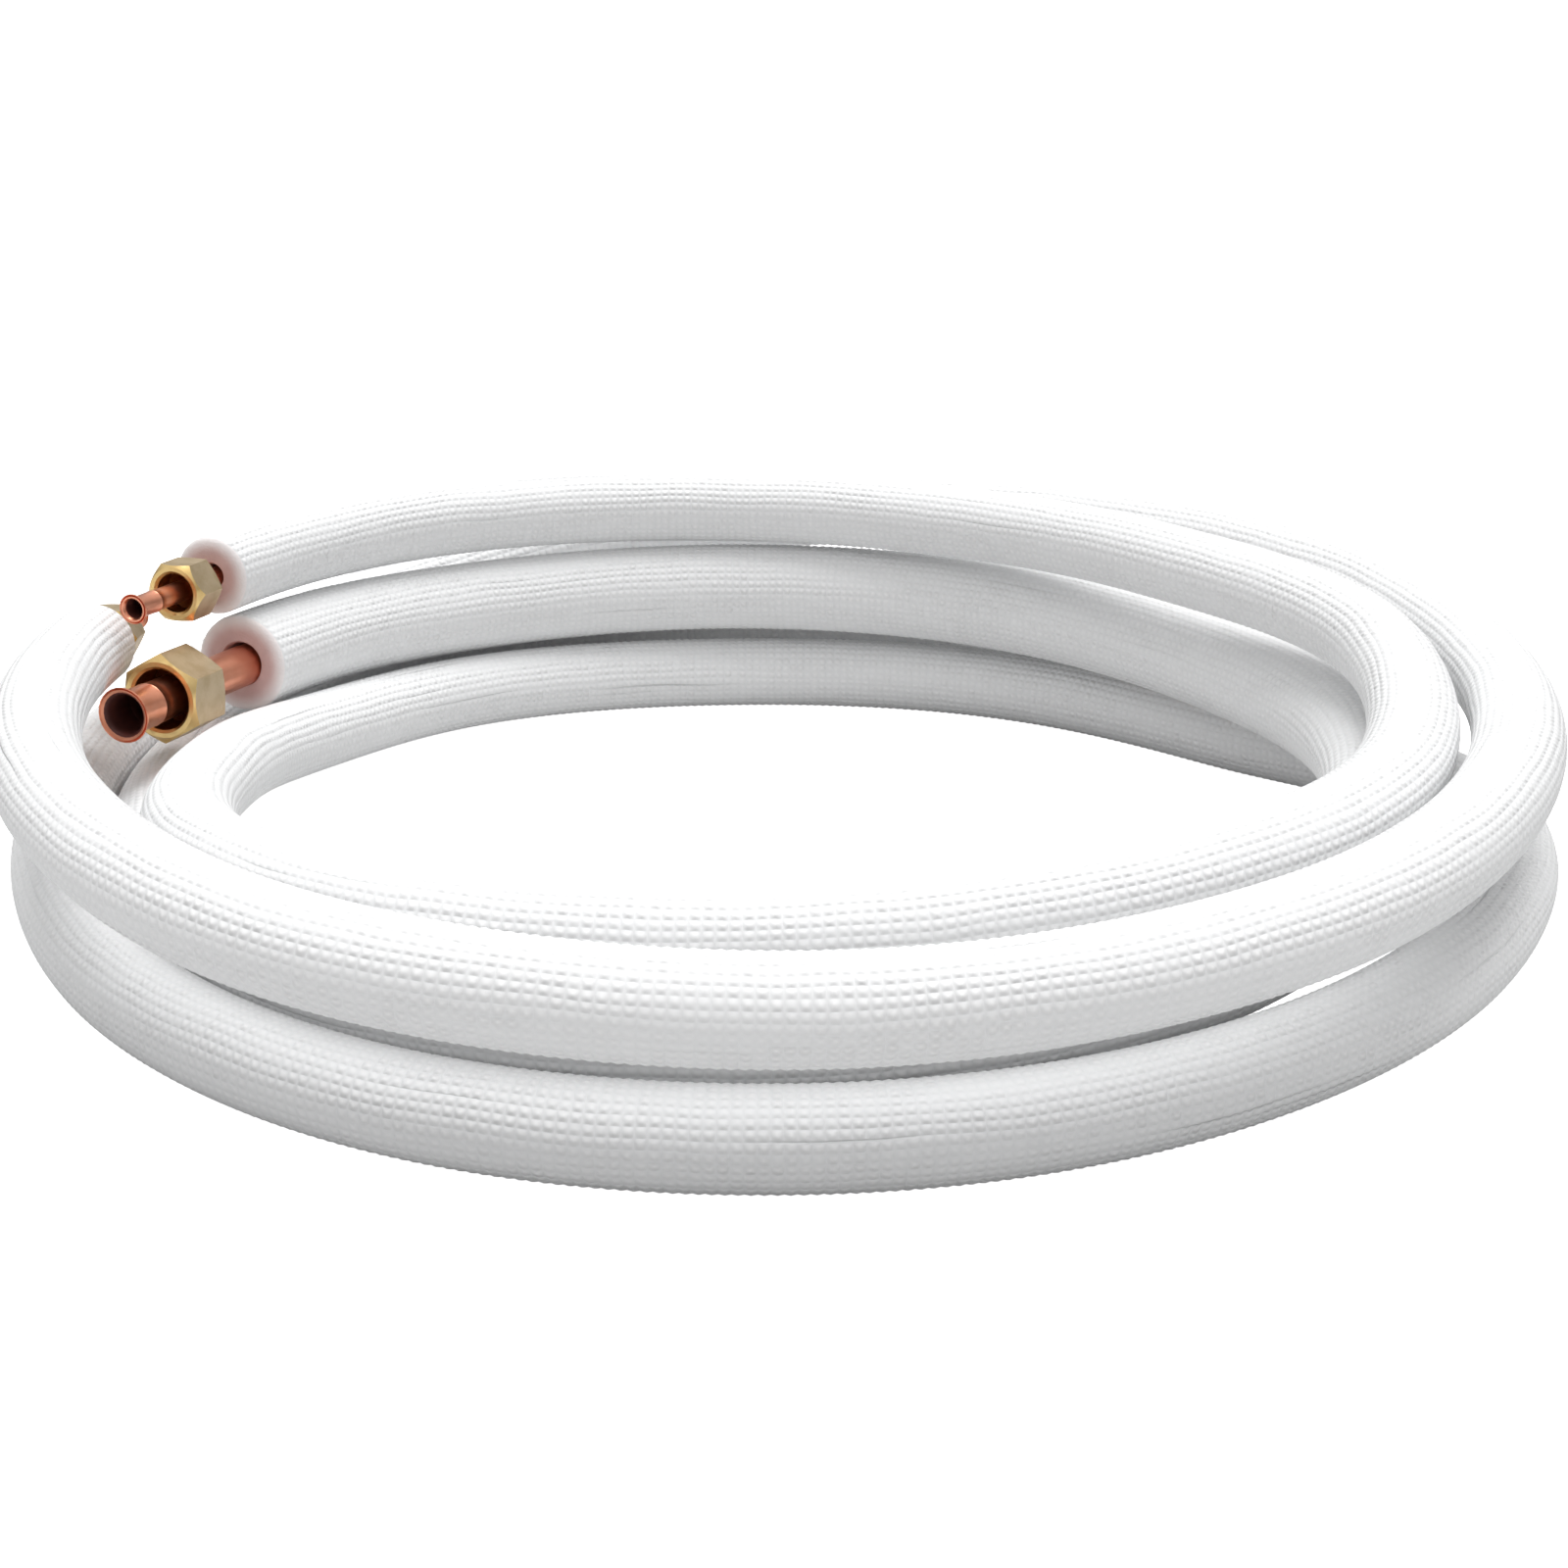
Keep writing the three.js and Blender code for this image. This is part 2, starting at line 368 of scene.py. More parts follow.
# %% Make a sleeve straight and bend it
BUMP_PITCH = 2.8 * MM
CREST = 0.3 * MM
# Over a cut end the foam swells a little, and its rim against the film is soft.
RIM = 1.2 * MM
BORE_STEP = 14.0 * MM
SKIN_ROOM = 0.2 * MM
FILM = 0
FOAM = 1


def rim_profile(bore, valley):
    """From the bore to the film: how far each ring stands out of the cut, and its radius."""
    return [
        (0, bore),
        (RIM * 0.7, bore + RIM * 0.5),
        (RIM, (bore + valley) / 2),
        (RIM * 0.8, valley - RIM),
        (RIM * 0.3, valley - RIM * 0.3),
        (0, valley),
    ]


def foam_sleeve(line):
    outer = line["sleeve"] / 2 - SKIN_ROOM
    bore = line["bore"] / 2 * math.cos(math.pi / BORE_FLATS)
    corners = line["sleeve_corners"]
    bumps = round(length_of(line["route"]) / BUMP_PITCH)
    length = bumps * BUMP_PITCH
    valley = outer - CREST
    skin = ring_tube("skin", [(0, valley), (BUMP_PITCH / 2, outer), (BUMP_PITCH, valley)], corners)
    repeated(skin, BUMP_PITCH, bumps)
    steps = round(length / BORE_STEP)
    lining = ring_tube("lining", [(0, bore), (length / steps, bore)], corners)
    repeated(lining, length / steps, steps)
    rim = rim_profile(bore, valley)
    near_profile = [(-out, radius) for out, radius in rim]
    far_profile = [(length + out, radius) for out, radius in reversed(rim)]
    near_rim = ring_tube("near_rim", near_profile, corners)
    far_rim = ring_tube("far_rim", far_profile, corners)
    sleeve = joined([skin, lining, near_rim, far_rim], "foam_sleeve_" + line["name"])
    bpy.ops.object.mode_set(mode="EDIT")
    bpy.ops.mesh.select_all(action="SELECT")
    bpy.ops.mesh.remove_doubles(threshold=MERGE)
    bpy.ops.mesh.normals_make_consistent(inside=False)
    bpy.ops.object.mode_set(mode="OBJECT")
    unroll(sleeve, BUMP_PITCH, line["bump_rows"])
    map_radius(sleeve, bore, valley)
    for face in sleeve.data.polygons:
        across = math.hypot(face.center.y, face.center.z)
        face.material_index = FOAM if across < valley - RIM * 0.1 else FILM
    lift = Vector((0, 0, outer - line["sleeve"] / 2 * math.cos(math.pi / SLEEVE_FLATS)))
    laid_along(sleeve, curve_through("sleeve_route", [point + lift for point in line["route"]]))
    print(sleeve.name, "has", bumps, "rings on", round(length, 2), "m")
    return sleeve


sleeves = [foam_sleeve(line) for line in (small, large)]

# %% [markdown]
# ## The copper tubes
#
# Each tube is one soft copper tube with thin walls, opened into a flare at both ends. The flaring
# tool's clamp leaves the last stretch a hair thicker, with a bright ring where it ends. A flared end
# is made once, mirrored for the other end, joined to the plain stretch, and the Solidify modifier
# gives the whole its wall, inwards.

# %% Make a tube straight and bend it
TUBE_CORNERS = 28
TUBE_STEP = 10.0 * MM
BRIGHT_LIP = 0.7 * MM
LIP_ROUND = 0.12 * MM
LIP_WIDTH = 0.45 * MM
CLAMP_RING = 0.1 * MM
CLAMP_RING_WIDTH = 0.25 * MM
PLAIN_START = 3.0 * MM
OUTSIDE = 0
INSIDE = 1


def flared_end(line):
    """From the mouth at 0 to the plain tube past the clamp's ring."""
    tube = line["tube"] / 2
    swollen = tube + FLARE_SWELL
    mouth = line["flare"] / 2
    cone = mouth - swollen
    mark = line["flare_mark"]
    return [
        (0, mouth - LIP_ROUND),
        (LIP_ROUND, mouth),
        (LIP_WIDTH, mouth),
        (cone * 0.6, swollen + cone * 0.42),
        (cone, swollen + cone * 0.1),
        (cone * 1.4, swollen),
        (mark * 0.55, swollen),
        (mark - CLAMP_RING_WIDTH * 2, swollen),
        (mark - CLAMP_RING_WIDTH, swollen + CLAMP_RING),
        (mark, swollen),
        (mark + CLAMP_RING_WIDTH, tube),
        (mark + PLAIN_START, tube),
    ]


def copper_route(line):
    """The sleeve's route at the tube's seat, with both bare ends added straight."""
    drop = Vector((0, 0, line["near"]["seat"]))
    bare = line["bare_end"]
    near, far = line["near"], line["far"]
    start = [near["face"] + near["outward"] * bare * part for part in (1.0, 0.75, 0.5, 0.25)]
    finish = [far["face"] + far["outward"] * bare * part for part in (0.25, 0.5, 0.75, 1.0)]
    inner = [point - drop for point in line["route"][1:-1]]
    return [*start, near["face"], *inner, far["face"], *finish]


def copper_tube(line):
    route = copper_route(line)
    length = length_of(route)
    profile = flared_end(line)
    end_length = profile[-1][0]
    near_end = ring_tube("near_end", profile, TUBE_CORNERS)
    far_profile = [(length - place, radius) for place, radius in reversed(profile)]
    far_end = ring_tube("far_end", far_profile, TUBE_CORNERS)
    plain = length - 2 * end_length
    steps = round(plain / TUBE_STEP)
    tube = line["tube"] / 2
    stretch = ring_tube("stretch", [(end_length, tube), (end_length + plain / steps, tube)],
                        TUBE_CORNERS)
    repeated(stretch, plain / steps, steps)
    copper = joined([near_end, stretch, far_end], "copper_" + line["name"])
    bpy.ops.object.mode_set(mode="EDIT")
    bpy.ops.mesh.select_all(action="SELECT")
    bpy.ops.mesh.remove_doubles(threshold=MERGE)
    bpy.ops.mesh.normals_make_consistent(inside=False)
    bpy.ops.object.mode_set(mode="OBJECT")
    unroll(copper, 1 * MM, line["tube"] * math.pi / MM)
    wall = copper.modifiers.new("wall", "SOLIDIFY")
    wall.thickness = line["wall"]
    wall.offset = -1
    # two slots, filled later, so that the new inner faces can take the second one
    copper.data.materials.append(None)
    copper.data.materials.append(None)
    wall.material_offset = INSIDE
    apply_modifier(copper, wall)
    # Inner faces take the inside copper, painted near black as shade; within BRIGHT_LIP of the mouth
    # they keep the outside copper.
    for face in copper.data.polygons:
        if min(face.center.x, length - face.center.x) < BRIGHT_LIP:
            face.material_index = OUTSIDE
    laid_along(copper, curve_through("copper_route", route))
    print(copper.name, "is", round(length, 2), "m long")
    return copper


tubes = [copper_tube(line) for line in (small, large)]

# %% [markdown]
# ## The flare nuts
#
# A flare nut is cut from hexagon bar: both ends are turned to a chamfer that rounds off the corners,
# and the open end is bored and threaded. The same three solids make it here. A hexagon is crossed
# with a turned blank, and the threaded bore is cut from it with the Boolean modifier. Each size is
# made once and copied, and a Bevel modifier softens its edges.

# %% Closed solids, crossed and cut
NUT_CORNERS = 72
REAR_SHOULDER = 1.5 * MM
FRONT_SHOULDER = 2.0 * MM
MOUTH_CHAMFER = 0.8 * MM
THREAD_DEPTH = 0.35 * MM
THREAD_START = 1.2 * MM
THREAD_ROOM = 1.5 * MM
CUT_PAST = 1.0 * MM
EDGE_SOFTNESS = 0.22 * MM
EDGE_ANGLE = 28
FLATS = 0
CHAMFERS = 1
SOCKET = 2


def closed_ends(piece, places):
    """Fills the open rings of a tube, one end at a time."""
    for place in places:
        bpy.ops.object.mode_set(mode="EDIT")
        select_near(piece, place, MERGE)
        bpy.ops.mesh.edge_face_add()
        bpy.ops.object.mode_set(mode="OBJECT")
    bpy.ops.object.mode_set(mode="EDIT")
    bpy.ops.mesh.select_all(action="SELECT")
    bpy.ops.mesh.normals_make_consistent(inside=False)
    bpy.ops.object.mode_set(mode="OBJECT")
    return piece


def crossed(piece, tool, operation):
    cut = piece.modifiers.new("cut", "BOOLEAN")
    cut.object = tool
    cut.operation = operation
    cut.solver = "EXACT"
    apply_modifier(piece, cut)
    bpy.data.objects.remove(tool)


# %% Cut a nut along X
def flare_nut(line):
    """Its plain back is at 0 and its open end at its length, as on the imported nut."""
    flat = line["nut_flats"] / 2
    corner = flat / math.cos(math.pi / 6)
    front = line["nut_length"]
    bore = line["tube"] / 2 + REST_GAP
    socket = line["nut_socket"] / 2
    seat = front - line["nut_socket_depth"]
    bpy.ops.object.select_all(action="DESELECT")
    bpy.ops.mesh.primitive_cylinder_add(vertices=6, radius=corner, depth=front,
                                        location=(front / 2, 0, 0), rotation=(0, math.pi / 2, 0))
    nut = bpy.context.object
    nut.name = "flare_nut"
    bpy.ops.object.transform_apply(location=True, rotation=True, scale=True)
    blank_profile = [
        (0, flat - REAR_SHOULDER),
        (REAR_SHOULDER, corner + MERGE),
        (front - FRONT_SHOULDER, corner + MERGE),
        (front - FRONT_SHOULDER * 0.35, flat + 0.2 * MM),
        (front, flat - FRONT_SHOULDER / 4),
    ]
    blank = closed_ends(ring_tube("blank", blank_profile, NUT_CORNERS), (0, front))
    crossed(nut, blank, "INTERSECT")
    bore_profile = [(-CUT_PAST, bore), (seat - (socket - bore), bore), (seat, socket)]
    turns = int((front - MOUTH_CHAMFER - seat - THREAD_ROOM) / line["thread_pitch"])
    for turn in range(turns):
        place = seat + THREAD_START + turn * line["thread_pitch"]
        bore_profile.append((place, socket))
        bore_profile.append((place + line["thread_pitch"] / 2, socket + THREAD_DEPTH))
    bore_profile.append((front - MOUTH_CHAMFER, socket))
    bore_profile.append((front, socket + MOUTH_CHAMFER))
    bore_profile.append((front + CUT_PAST, socket + MOUTH_CHAMFER + CUT_PAST))
    cutter = ring_tube("cutter", bore_profile, NUT_CORNERS)
    closed_ends(cutter, (-CUT_PAST, front + CUT_PAST))
    crossed(nut, cutter, "DIFFERENCE")
    soften = nut.modifiers.new("soften", "BEVEL")
    soften.width = EDGE_SOFTNESS
    soften.segments = 2
    soften.limit_method = "ANGLE"
    soften.angle_limit = math.radians(EDGE_ANGLE)
    apply_modifier(nut, soften)
    for face in nut.data.polygons:
        across = math.hypot(face.center.y, face.center.z)
        if across < socket + THREAD_DEPTH and 0 < face.center.x < front - MOUTH_CHAMFER:
            face.material_index = SOCKET
        elif abs(face.normal.x) < 0.15 and across > flat * 0.98:
            face.material_index = FLATS
        else:
            face.material_index = CHAMFERS
    return nut


# A six-sided cylinder starts with a corner at its side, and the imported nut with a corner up.
CORNER_UP = 30.0


def placed_nut(line, pattern, end_name):
    end = line[end_name]
    nut = pattern.copy()
    nut.data = pattern.data.copy()
    bpy.context.scene.collection.objects.link(nut)
    nut.name = "nut_%s_%s" % (line["name"], end_name)
    back = end["face"] + end["outward"] * line["nut_from_sleeve"]
    place = Matrix((end["outward"], end["side"], end["outward"].cross(end["side"]))).transposed()
    turn = Matrix.Rotation(math.radians(line["nut_turn"] + CORNER_UP), 4, "X")
    nut.data.transform(Matrix.Translation(back) @ place.to_4x4() @ turn)
    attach(nut, "nut_%s_%s" % (line["name"], end_name))
    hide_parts("flare_nut_%s_%s" % (line["name"], end_name))
    return nut


nuts = []
for line in (small, large):
    pattern = flare_nut(line)
    nuts += [placed_nut(line, pattern, end_name) for end_name in ("near", "far")]
    bpy.data.objects.remove(pattern)
print("nuts:", [nut.name for nut in nuts])


# %% [markdown]
# ## Materials
#
# Node groups hold what a finish does over its surface, and the Principled shader stays in the
# material. The helper below adds nodes by name and joins them, so each group reads as a recipe.

# %% A helper for node recipes
class Recipe:
    """Adds nodes to a tree, with their values, and links whatever is itself a socket."""

    def __init__(self, tree):
        self.tree = tree

    def add(self, kind, inputs=None, **settings):
        node = self.tree.nodes.new(kind)
        for name, value in settings.items():
            setattr(node, name, value)
        for key, value in (inputs or {}).items():
            self.feed(node.inputs[key], value)
        return node

    def feed(self, socket, value):
        if isinstance(value, bpy.types.NodeSocket):
            self.tree.links.new(value, socket)
        else:
            socket.default_value = value

    def math(self, operation, *values):
        node = self.add("ShaderNodeMath", operation=operation)
        for socket, value in zip(node.inputs, values):
            self.feed(socket, value)
        return node.outputs[0]

    def smooth(self, value, low, high):
        return self.add("ShaderNodeMapRange", {0: value, 1: low, 2: high},
                        interpolation_type="SMOOTHSTEP").outputs[0]

    def noise(self, vector, scale, detail=2.0, roughness=0.5):
        return self.add("ShaderNodeTexNoise", {"Vector": vector, "Scale": scale, "Detail": detail,
                                               "Roughness": roughness}).outputs["Fac"]

    def mix(self, factor, first, second):
        node = self.add("ShaderNodeMix", {0: factor}, data_type="RGBA")
        self.feed(node.inputs[6], first)
        self.feed(node.inputs[7], second)
        return node.outputs[2]

    def wave(self, value, sharpness):
        """One rounded hump from 0 to 1 for every whole step of the value."""
        swing = self.math("SINE", self.math("MULTIPLY", value, math.pi))
        return self.math("POWER", self.math("ABSOLUTE", swing), sharpness)

    def point(self, x, y, z=0.0):
        return self.add("ShaderNodeCombineXYZ", {0: x, 1: y, 2: z}).outputs[0]


def new_group(name, inputs, outputs):
    group = bpy.data.node_groups.new(name, "ShaderNodeTree")
    for label, kind, value in inputs:
        socket = group.interface.new_socket(label, in_out="INPUT", socket_type=kind)
        if value is not None:
            socket.default_value = value
    for label, kind in outputs:
        group.interface.new_socket(label, in_out="OUTPUT", socket_type=kind)
    recipe = Recipe(group)
    return group, recipe, recipe.add("NodeGroupInput"), recipe.add("NodeGroupOutput")


def new_material(name):
    material = bpy.data.materials.new(name)
    material.use_nodes = True
    recipe = Recipe(material.node_tree)
    shader = material.node_tree.nodes["Principled BSDF"]
    return material, recipe, shader


def use_group(recipe, group, inputs):
    node = recipe.add("ShaderNodeGroup", node_tree=group)
    for label, value in inputs.items():
        recipe.feed(node.inputs[label], value)
    return node


# %% [markdown]
# ### The embossed film
#
# On the unrolled sleeve a bump is one step of U by one step of V, so the pattern is two squared
# sines multiplied together. Film that has been bent and packed isn't even: the rows wander, some
# bumps are pressed flat, a few valleys fold into long creases, and tight bends gather the film in
# short folds across the sleeve. Each of these is a noise, stretched the way the film stretches.

# %% The film's group
SQUARENESS = 1.3
WANDER_ACROSS = 4.0
PRESSED_LEAST = 0.6
CREASE_DEPTH = 0.4
GATHER_HEIGHT = 0.7
film_group, film, film_in, film_out = new_group(
    "embossed_film",
    [("UV", "NodeSocketVector", None), ("Wander", "NodeSocketFloat", 0.25)],
    [("Height", "NodeSocketFloat"), ("Valley", "NodeSocketFloat"), ("Crease", "NodeSocketFloat")],
)
axes = film.add("ShaderNodeSeparateXYZ", {0: film_in.outputs["UV"]})
along, row = axes.outputs[0], axes.outputs[1]
slow_along = film.math("MULTIPLY", along, 0.06)
slow_row = film.math("MULTIPLY", row, 0.12)
drift = film.noise(film.point(slow_along, slow_row), 1.0)
drift = film.math("MULTIPLY", film.math("SUBTRACT", drift, 0.5), film_in.outputs["Wander"])
row_place = film.math("ADD", row, film.math("MULTIPLY", drift, WANDER_ACROSS))
along_place = film.math("ADD", along, drift)
rings = film.wave(along_place, SQUARENESS)
rows = film.wave(row_place, SQUARENESS)
bump = film.math("MULTIPLY", rings, rows)

cell = film.point(film.math("FLOOR", along_place), film.math("FLOOR", row_place))
luck = film.add("ShaderNodeTexWhiteNoise", {"Vector": cell}, noise_dimensions="2D").outputs["Value"]
luck = film.math("ADD", film.math("MULTIPLY", luck, 0.45), 0.55)
long_along = film.math("MULTIPLY", along, 0.05)
long_row = film.math("MULTIPLY", row, 0.3)
pressed = film.smooth(film.noise(film.point(long_along, long_row), 1.0, 3.0), 0.36, 0.62)
strength = film.math("MULTIPLY", pressed, 1.0 - PRESSED_LEAST)
strength = film.math("ADD", strength, PRESSED_LEAST)
bump = film.math("MULTIPLY", film.math("MULTIPLY", bump, luck), strength)

valley_row = film.math("FLOOR", film.math("ADD", row_place, 0.5))
valley_gap = film.math("ABSOLUTE", film.math("SUBTRACT", row_place, valley_row))
fold_along = film.math("MULTIPLY", along, 0.03)
fold_row = film.math("MULTIPLY", valley_row, 7.3)
fold = film.smooth(film.noise(film.point(fold_along, fold_row), 1.0, 1.0), 0.64, 0.78)
crease = film.math("MULTIPLY", fold, film.smooth(valley_gap, 0.14, 0.03))
height = film.math("SUBTRACT", bump, film.math("MULTIPLY", crease, CREASE_DEPTH))

short_along = film.math("MULTIPLY", along, 0.55)
wide_row = film.math("MULTIPLY", row, 0.08)
gather = film.noise(film.point(short_along, wide_row), 1.0, 2.0)
height = film.math("ADD", height, film.math("MULTIPLY", gather, GATHER_HEIGHT))
film.feed(film_out.inputs["Height"], height)
film.feed(film_out.inputs["Valley"], film.math("SUBTRACT", 1.0, bump))
film.feed(film_out.inputs["Crease"], crease)

# %% White film
film_material, recipe, shader = new_material("white_film")
uv = recipe.add("ShaderNodeUVMap", uv_map="unrolled").outputs[0]
skin = use_group(recipe, film_group, {"UV": uv, "Wander": 0.3})
# The valleys between the bumps are painted greyer: painted shade between the bumps.
white = recipe.mix(skin.outputs["Valley"], (0.93, 0.93, 0.93, 1), (0.84, 0.845, 0.85, 1))
# The creases are painted darker grey: painted shade in the folds.
white = recipe.mix(recipe.math("MULTIPLY", skin.outputs["Crease"], 0.3), white, (0.6, 0.6, 0.61, 1))
recipe.feed(shader.inputs["Base Color"], white)
dull = recipe.math("MULTIPLY", skin.outputs["Valley"], 0.12)
recipe.feed(shader.inputs["Roughness"], recipe.math("ADD", dull, 0.5))
bump_node = recipe.add("ShaderNodeBump", {"Height": skin.outputs["Height"], "Distance": 0.6 * MM,
                                          "Strength": 1.0})
recipe.feed(shader.inputs["Normal"], bump_node.outputs[0])

# %% [markdown]
# ### Foam, copper and brass
#
# The cut foam is full of tiny cells; its pinkish colour is a painted reflection of the copper beside
# it, strongest at the bore. Drawn copper has faint streaks along the tube and patches where it has
# been handled.
# The nuts are turned brass: fine rings round the axis, duller on the flats than on the chamfers.

# %% Cells, streaks and patches
cell_group, cells, cell_in, cell_out = new_group(
    "foam_cells", [("Scale", "NodeSocketFloat", 1400.0)],
    [("Height", "NodeSocketFloat"), ("Tone", "NodeSocketFloat")])
here = cells.add("ShaderNodeTexCoord").outputs["Object"]
voronoi = cells.add("ShaderNodeTexVoronoi", {"Vector": here, "Scale": cell_in.outputs["Scale"]})
cells.feed(cell_out.inputs["Height"], voronoi.outputs["Distance"])
cells.feed(cell_out.inputs["Tone"], cells.noise(here, 300.0, 3.0))

metal_group, metal, metal_in, metal_out = new_group(
    "worked_metal",
    [("Vector", "NodeSocketVector", None), ("Streak scale", "NodeSocketFloat", 1.0),
     ("Patch scale", "NodeSocketFloat", 120.0)],
    [("Streak", "NodeSocketFloat"), ("Patch", "NodeSocketFloat")])
streak = metal.noise(metal_in.outputs["Vector"], metal_in.outputs["Streak scale"], 4.0, 0.6)
here = metal.add("ShaderNodeTexCoord").outputs["Object"]
patch = metal.noise(here, metal_in.outputs["Patch scale"], 4.0, 0.6)
metal.feed(metal_out.inputs["Streak"], streak)
metal.feed(metal_out.inputs["Patch"], metal.smooth(patch, 0.35, 0.7))

# %% Cut foam
foam_material, recipe, shader = new_material("cut_foam")
foam = use_group(recipe, cell_group, {"Scale": 1400.0})
# Pinkish colour on the foam: painted reflection of the copper, strongest at the bore and fading paler
# towards the film.
painted_copper_reflection = recipe.mix(foam.outputs["Tone"], (0.6, 0.4, 0.39, 1), (0.7, 0.52, 0.51, 1))
across = recipe.add("ShaderNodeUVMap", uv_map="radius").outputs[0]
across = recipe.add("ShaderNodeSeparateXYZ", {0: across}).outputs[0]
pale = recipe.mix(recipe.smooth(across, 0.35, 1.0), painted_copper_reflection, (0.9, 0.86, 0.86, 1))
recipe.feed(shader.inputs["Base Color"], pale)
shader.inputs["Roughness"].default_value = 0.75
grain = recipe.add("ShaderNodeBump", {"Height": foam.outputs["Height"], "Distance": 0.15 * MM,
                                      "Strength": 0.5})
recipe.feed(shader.inputs["Normal"], grain.outputs[0])

# %% Drawn copper
copper_material, recipe, shader = new_material("drawn_copper")
uv = recipe.add("ShaderNodeUVMap", uv_map="unrolled").outputs[0]
streaks = recipe.add("ShaderNodeMapping", {"Vector": uv, "Scale": (0.04, 1.6, 1.0)}).outputs[0]
worked = use_group(recipe, metal_group, {"Vector": streaks, "Streak scale": 1.0, "Patch scale": 90.0})
tone = recipe.mix(worked.outputs["Patch"], (0.8, 0.34, 0.21, 1), (0.74, 0.28, 0.16, 1))
tone = recipe.mix(recipe.math("MULTIPLY", worked.outputs["Streak"], 0.25), tone, (0.9, 0.5, 0.38, 1))
recipe.feed(shader.inputs["Base Color"], tone)
shader.inputs["Metallic"].default_value = 1.0
dull = recipe.math("MULTIPLY", worked.outputs["Streak"], 0.12)
recipe.feed(shader.inputs["Roughness"], recipe.math("ADD", dull, 0.24))
drawn_lines = recipe.add("ShaderNodeBump", {"Height": worked.outputs["Streak"], "Distance": 0.02 * MM,
                                            "Strength": 0.3})
recipe.feed(shader.inputs["Normal"], drawn_lines.outputs[0])

# %% The inside of the copper, painted near black as shade in the bore
inside_material, recipe, shader = new_material("copper_inside")
here = recipe.add("ShaderNodeTexCoord").outputs["Object"]
worked = use_group(recipe, metal_group, {"Vector": here, "Streak scale": 300.0, "Patch scale": 90.0})
# Near-black red: painted shade inside the bore.
tone = recipe.mix(worked.outputs["Patch"], (0.13, 0.035, 0.025, 1), (0.07, 0.018, 0.014, 1))
recipe.feed(shader.inputs["Base Color"], tone)
shader.inputs["Metallic"].default_value = 0.3
shader.inputs["Roughness"].default_value = 0.5


# %% Brass, in three finishes: plain flats, chamfers painted lighter as a highlight, and a socket painted darker as shade
def brass(name, light, dark, roughness, grain):
    material, recipe, shader = new_material(name)
    here = recipe.add("ShaderNodeTexCoord").outputs["Object"]
    inputs = {"Vector": here, "Streak scale": 900.0, "Patch scale": 160.0}
    worked = use_group(recipe, metal_group, inputs)
    tone = recipe.mix(worked.outputs["Patch"], light, dark)
    recipe.feed(shader.inputs["Base Color"], tone)
    shader.inputs["Metallic"].default_value = 1.0
    dull = recipe.math("MULTIPLY", worked.outputs["Streak"], 0.15)
    recipe.feed(shader.inputs["Roughness"], recipe.math("ADD", dull, roughness))
    lines = recipe.add("ShaderNodeBump", {"Height": worked.outputs["Streak"], "Distance": 0.04 * MM,
                                          "Strength": grain})
    recipe.feed(shader.inputs["Normal"], lines.outputs[0])
    return material


brass_flats = brass("drawn_brass", (0.62, 0.5, 0.33, 1), (0.52, 0.4, 0.24, 1), 0.36, 0.3)
# The chamfers' lighter colour is a painted highlight, on top of their lower roughness.
brass_chamfers = brass("turned_brass_painted_highlight", (0.82, 0.6, 0.27, 1), (0.76, 0.53, 0.22, 1), 0.24, 0.08)
# The socket's darker colour is painted shade inside the bore.
brass_socket = brass("bored_brass_painted_shade", (0.5, 0.27, 0.1, 1), (0.36, 0.17, 0.06, 1), 0.3, 0.2)


# %% Give each piece its finish
SMOOTH_ANGLE = 35


def finish(piece, materials):
    """Fills the piece's slots and smooths its shading."""
    slots = piece.data.materials
    while len(slots) < len(materials):
        slots.append(None)
    for i, material in enumerate(materials):
        slots[i] = material
    select_only(piece)
    bpy.ops.object.shade_smooth_by_angle(angle=math.radians(SMOOTH_ANGLE))


def stands_for(piece, body, node):
    """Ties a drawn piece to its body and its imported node."""
    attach(piece, body)
    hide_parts(node)


for line, sleeve, tube in zip((small, large), sleeves, tubes):
    finish(sleeve, [film_material, foam_material])
    stands_for(sleeve, "coil", "insulation_" + line["name"])
    finish(tube, [copper_material, inside_material])
    stands_for(tube, "coil", "copper_tube_" + line["name"])
for nut in nuts:
    finish(nut, [brass_flats, brass_chamfers, brass_socket])

# %% [markdown]
# ## Floor, light and camera
#
# The photograph is lit softly from above, on plain white. A soft sun hangs overhead, and the room
# is bright above and dim at the horizon, which gives the metal something to reflect. The camera
# sees the room and the floor as plain white, and it stands where the photograph's did.

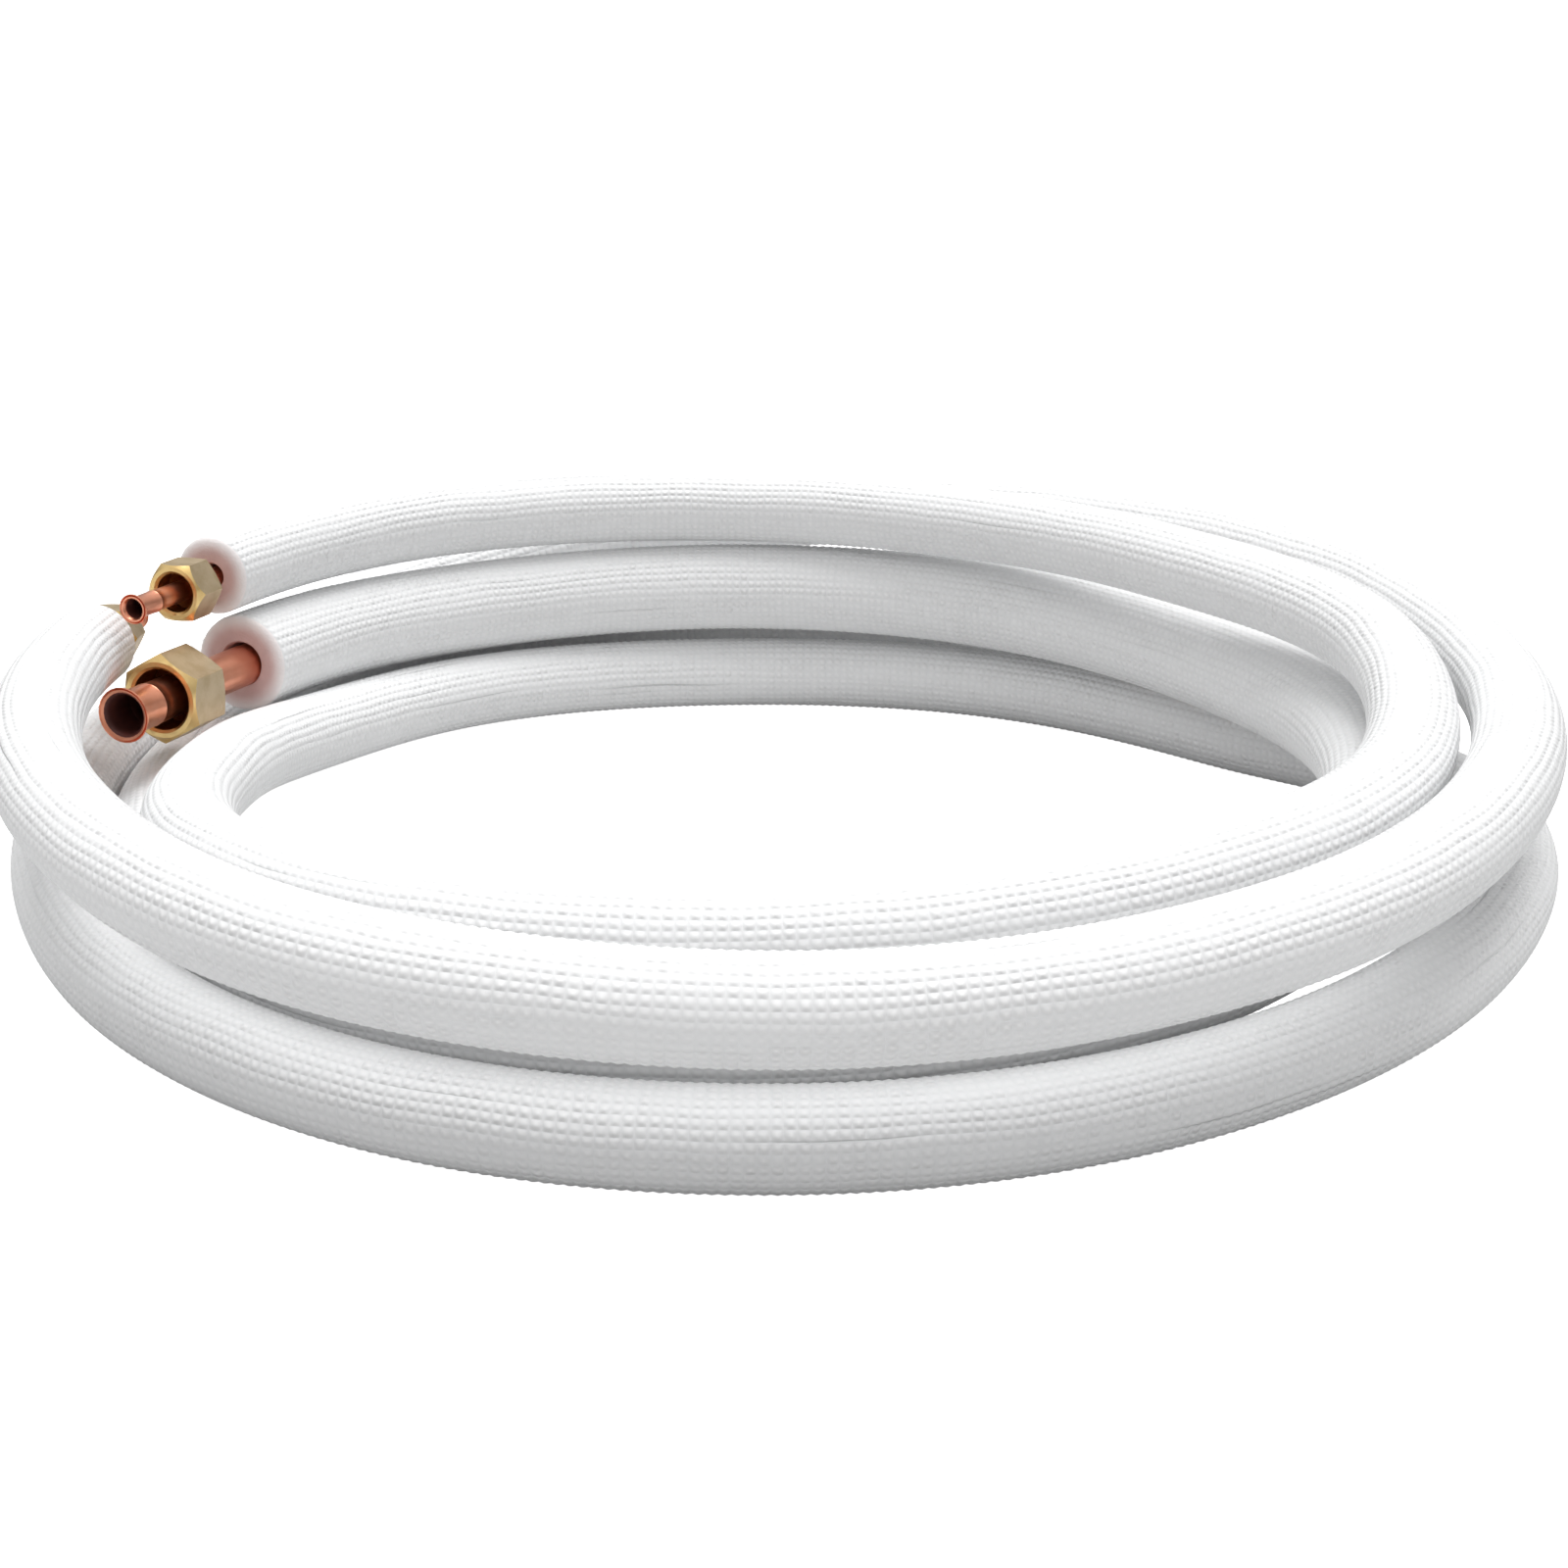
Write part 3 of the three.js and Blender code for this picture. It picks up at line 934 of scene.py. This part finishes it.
# %% Floor
FLOOR_SIZE = 120.0
FLOOR_GAP = 0.2 * MM
bpy.ops.object.select_all(action="DESELECT")
bpy.ops.mesh.primitive_plane_add(size=FLOOR_SIZE, location=(0, 0, -FLOOR_GAP))
floor = bpy.context.object
floor.name = "floor"
floor_material, recipe, shader = new_material("pale_floor")
shader.inputs["Base Color"].default_value = (0.62, 0.62, 0.62, 1)
shader.inputs["Roughness"].default_value = 1.0
shader.inputs["Specular IOR Level"].default_value = 0.0
shader.inputs["Emission Strength"].default_value = 1.0
seen = recipe.add("ShaderNodeLightPath").outputs["Is Camera Ray"]
recipe.feed(shader.inputs["Emission Color"], recipe.mix(seen, (0, 0, 0, 1), (1, 1, 1, 1)))
floor.data.materials.append(floor_material)

# %% Sun
SUN_STRENGTH = 2.1
SUN_SPREAD = 40.0
SUN_TILT = (-8, 4)
bpy.ops.object.light_add(type="SUN", location=(0, 0, 1))
sun = bpy.context.object
sun.name = "overhead_sun"
sun.data.energy = SUN_STRENGTH
sun.data.angle = math.radians(SUN_SPREAD)
sun.rotation_euler = (math.radians(SUN_TILT[0]), math.radians(SUN_TILT[1]), 0)

# %% Room
ROOM_TOP = 0.85
ROOM_HORIZON = 0.2
world = bpy.data.worlds.new("white_room")
bpy.context.scene.world = world
world.use_nodes = True
recipe = Recipe(world.node_tree)
direction = recipe.add("ShaderNodeTexCoord").outputs["Generated"]
height = recipe.add("ShaderNodeSeparateXYZ", {0: direction}).outputs[2]
glow = recipe.add("ShaderNodeMapRange", {0: height, 1: 0.0, 2: 0.7, 3: ROOM_HORIZON, 4: ROOM_TOP},
                  interpolation_type="SMOOTHSTEP").outputs[0]
seen = recipe.add("ShaderNodeLightPath").outputs["Is Camera Ray"]
background = world.node_tree.nodes["Background"]
background.inputs["Color"].default_value = (1, 1, 1, 1)
recipe.feed(background.inputs["Strength"], recipe.math("MAXIMUM", glow, seen))
bpy.context.scene.view_settings.view_transform = "Standard"

# %% Camera
CAMERA_DISTANCE = 697.4 * MM
CAMERA_ELEVATION = 18.76
CAMERA_AZIMUTH = -4.13
AIM = Vector((4.75 * MM, 0, 29.98 * MM))
FOCAL_LENGTH_MM = 54.82
elevation, azimuth = math.radians(CAMERA_ELEVATION), math.radians(CAMERA_AZIMUTH)
back = Vector((math.sin(azimuth) * math.cos(elevation), -math.cos(azimuth) * math.cos(elevation),
               math.sin(elevation)))
aim = AIM + coil_axis
bpy.ops.object.camera_add(location=aim + back * CAMERA_DISTANCE)
camera = bpy.context.object
camera.rotation_euler = (-back).to_track_quat("-Z", "Y").to_euler()
camera.data.lens = FOCAL_LENGTH_MM
camera.data.sensor_width = 36
camera.data.clip_start = 0.01
bpy.context.scene.camera = camera
